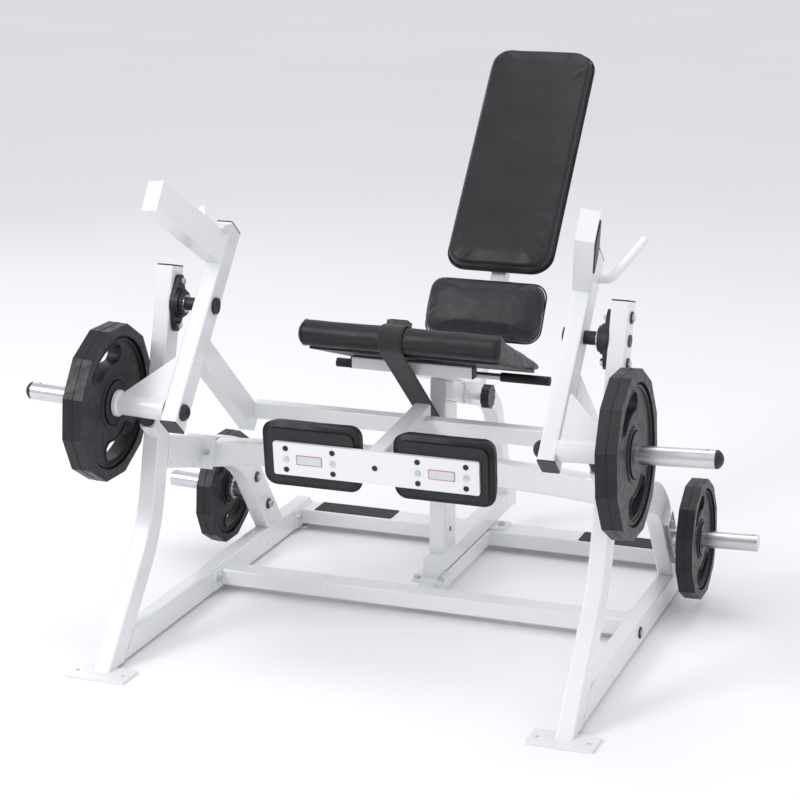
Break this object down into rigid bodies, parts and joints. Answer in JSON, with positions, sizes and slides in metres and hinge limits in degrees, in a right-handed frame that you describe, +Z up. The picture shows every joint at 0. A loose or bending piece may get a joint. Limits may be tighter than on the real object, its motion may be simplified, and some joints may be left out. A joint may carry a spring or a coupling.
{
  "type": "leg extension machine",
  "caption": "Plate-loaded leg extension machine: splayed tube frame, swinging arms with ankle pads, sloped seat, reclined back on a sliding carriage, storage horns.",
  "frame": {"origin": "middle of the machine's bounding box, on the floor", "axes": "+X to the machine's right seen from the front, +Y to the rear, +Z up"},
  "size_m": [2.0104, 2.0794, 1.5661],
  "materials": {
    "white_paint": "gloss white powder coat",
    "black_plastic": "satin",
    "black_board": "satin moulded board",
    "vinyl": "charcoal upholstery vinyl over foam",
    "brushed": "brushed",
    "zinc_steel": "zinc plated",
    "rubber": "satin urethane",
    "black_steel": "black",
    "iron": "as cast",
    "webbing": "woven strap"
  },
  "bodies": {
    "frame": {"post_left": "white_paint", "post_right": "white_paint", "foot_plates": "white_paint", "base_rails": "white_paint", "rear_arch_left": "white_paint", "rear_arch_right": "white_paint", "front_crossbar": "white_paint", "rear_crossbar": "white_paint", "spine_tube": "white_paint", "cross_beam": "white_paint", "seat_base": "white_paint", "seat_column": "white_paint", "seat_rail": "white_paint", "seat_bracket": "white_paint", "post_caps": "black_plastic", "grip_treads": "rubber", "seat_board": "black_board", "seat_pad": "vinyl", "lap_belt": "webbing", "belt_buckle": "black_plastic", "grip_bar": "brushed", "grip_sleeves": "rubber", "storage_horn_left": "brushed", "storage_horn_right": "brushed", "rest_bumpers": "rubber", "bearing_housings": "black_steel", "bearing_inserts": "zinc_steel", "frame_bolts": "zinc_steel", "black_washers": "black_plastic"},
    "swing_frame": {"arm_left": "white_paint", "arm_right": "white_paint", "arm_caps": "black_plastic", "counterweights": "white_paint", "start_handles": "white_paint", "pivot_shafts": "black_steel", "horn_sleeves": "white_paint", "loading_horns": "brushed", "horn_caps": "black_plastic", "diagonal_tubes": "white_paint", "swing_crossbeam": "white_paint", "centre_tube": "white_paint", "ankle_plate": "white_paint", "ankle_bolts": "zinc_steel", "ankle_boards": "black_board", "ankle_pad_left": "vinyl", "ankle_pad_right": "vinyl"},
    "back_carriage_body": {"back_carriage": "white_paint", "back_tube": "white_paint", "pad_boards": "black_board", "lumbar_pad": "vinyl", "back_pad": "vinyl"},
    "clamp_knob": {"star_knob": "black_plastic"},
    "loaded_weight_left": {"weight_plate_left": "rubber", "weight_core_left": "iron"},
    "stored_weight_left": {"stored_plate_left": "rubber", "stored_core_left": "iron"},
    "loaded_weight_right": {"weight_plate_right": "rubber", "weight_core_right": "iron"},
    "stored_weight_right": {"stored_plate_right": "rubber", "stored_core_right": "iron"}
  },
  "joints": [
    {"name": "knee_swing", "type": "hinge", "parent": "frame", "child": "swing_frame", "pos_m": [0, -0.5157, 0.966], "axis": [-1, 0, 0], "range_deg": [0, 100]},
    {"name": "back_slide", "type": "slide", "parent": "frame", "child": "back_carriage_body", "axis": [0, -0.9588, 0.284], "range_m": [0, 0.1]},
    {"name": "knob_turn", "type": "hinge", "parent": "back_carriage_body", "child": "clamp_knob", "pos_m": [0.1, 0.14798, 0.59494], "axis": [1, 0, 0], "range_deg": [0, 180]},
    {"name": "loaded_left_slide", "type": "slide", "parent": "swing_frame", "child": "loaded_weight_left", "axis": [-0.999, 0, 0.0436], "range_m": [0, 0.2]},
    {"name": "stored_left_slide", "type": "slide", "parent": "frame", "child": "stored_weight_left", "axis": [-0.9994, 0, 0.0349], "range_m": [0, 0.15]},
    {"name": "loaded_right_slide", "type": "slide", "parent": "swing_frame", "child": "loaded_weight_right", "axis": [0.999, 0, 0.0436], "range_m": [0, 0.2]},
    {"name": "stored_right_slide", "type": "slide", "parent": "frame", "child": "stored_weight_right", "axis": [0.9994, 0, 0.0349], "range_m": [0, 0.15]}
  ]
}
